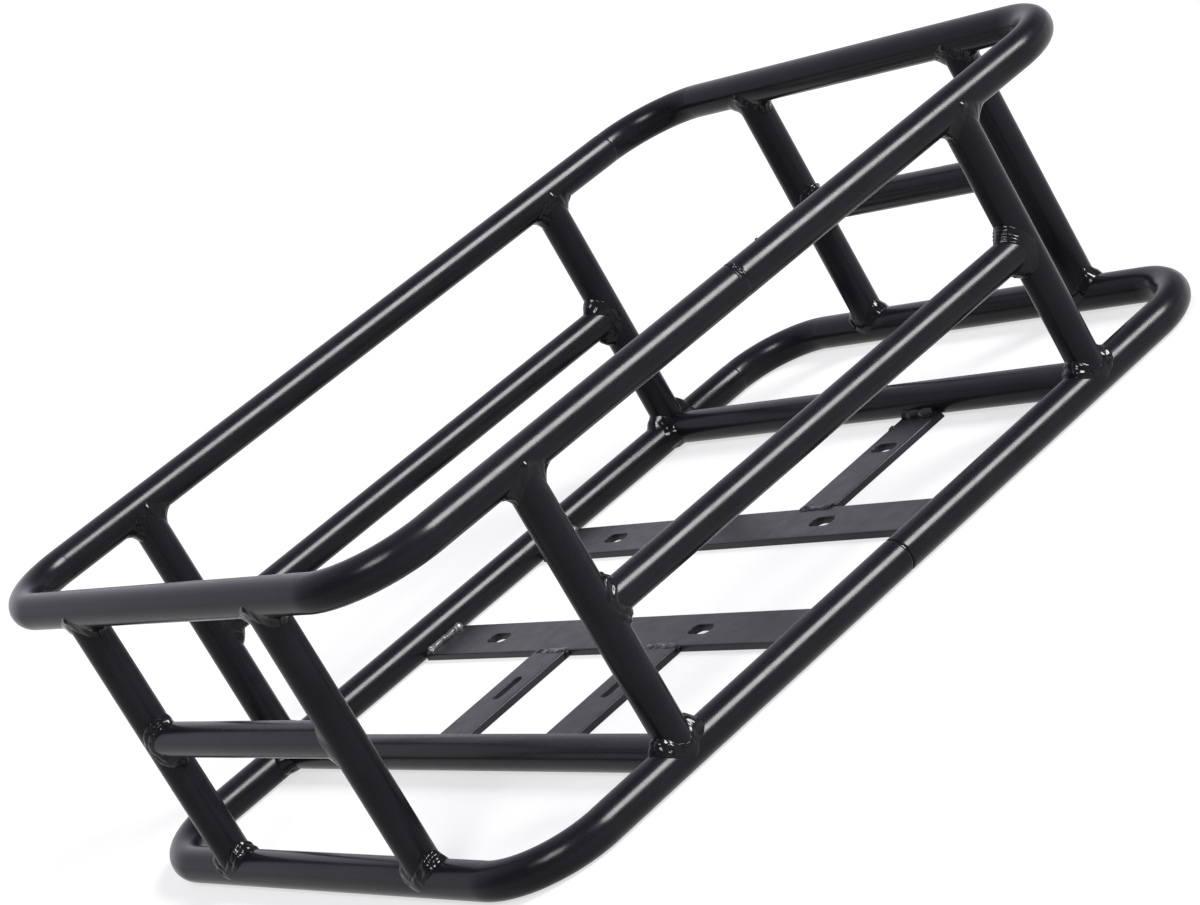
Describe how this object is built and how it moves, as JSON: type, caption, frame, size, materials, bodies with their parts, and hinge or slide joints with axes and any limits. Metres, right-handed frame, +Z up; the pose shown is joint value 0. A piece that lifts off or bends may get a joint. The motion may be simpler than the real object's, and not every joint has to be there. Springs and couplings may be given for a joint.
{
  "type": "bicycle rack cargo basket",
  "caption": "Open rectangular cargo basket of welded black steel tube, with slotted flat floor straps for bolting it onto a bicycle luggage rack.",
  "frame": {"origin": "centre of the outline, at the height of the surface that the basket stands on", "axes": "+Z up, +Y along the length towards the end whose floor straps have crosswise slots, +X across"},
  "size_m": [0.318, 0.452, 0.15],
  "materials": {
    "ring_tube": "satin",
    "frame_tube": "satin",
    "floor_strap": "satin",
    "weld": "gloss"
  },
  "bodies": {
    "root": {"top_ring": "ring_tube", "bottom_ring": "ring_tube", "post_left_front": "frame_tube", "post_left_rear": "frame_tube", "post_right_front": "frame_tube", "post_right_rear": "frame_tube", "post_front_left": "frame_tube", "post_front_right": "frame_tube", "post_rear_left": "frame_tube", "post_rear_right": "frame_tube", "side_rail_left": "frame_tube", "side_rail_right": "frame_tube", "side_rail_front": "frame_tube", "side_rail_rear": "frame_tube", "cross_tube_front": "frame_tube", "cross_tube_rear": "frame_tube", "cross_strap_front": "floor_strap", "cross_strap_rear": "floor_strap", "long_strap_front_left": "floor_strap", "long_strap_front_right": "floor_strap", "long_strap_rear_left": "floor_strap", "long_strap_rear_right": "floor_strap", "weld_top_seam": "weld", "weld_bottom_seam": "weld", "welds_posts_top": "weld", "welds_posts_bottom": "weld", "welds_side_rails": "weld", "welds_cross_tubes": "weld", "welds_cross_straps": "weld", "welds_long_straps": "weld"}
  },
  "joints": []
}
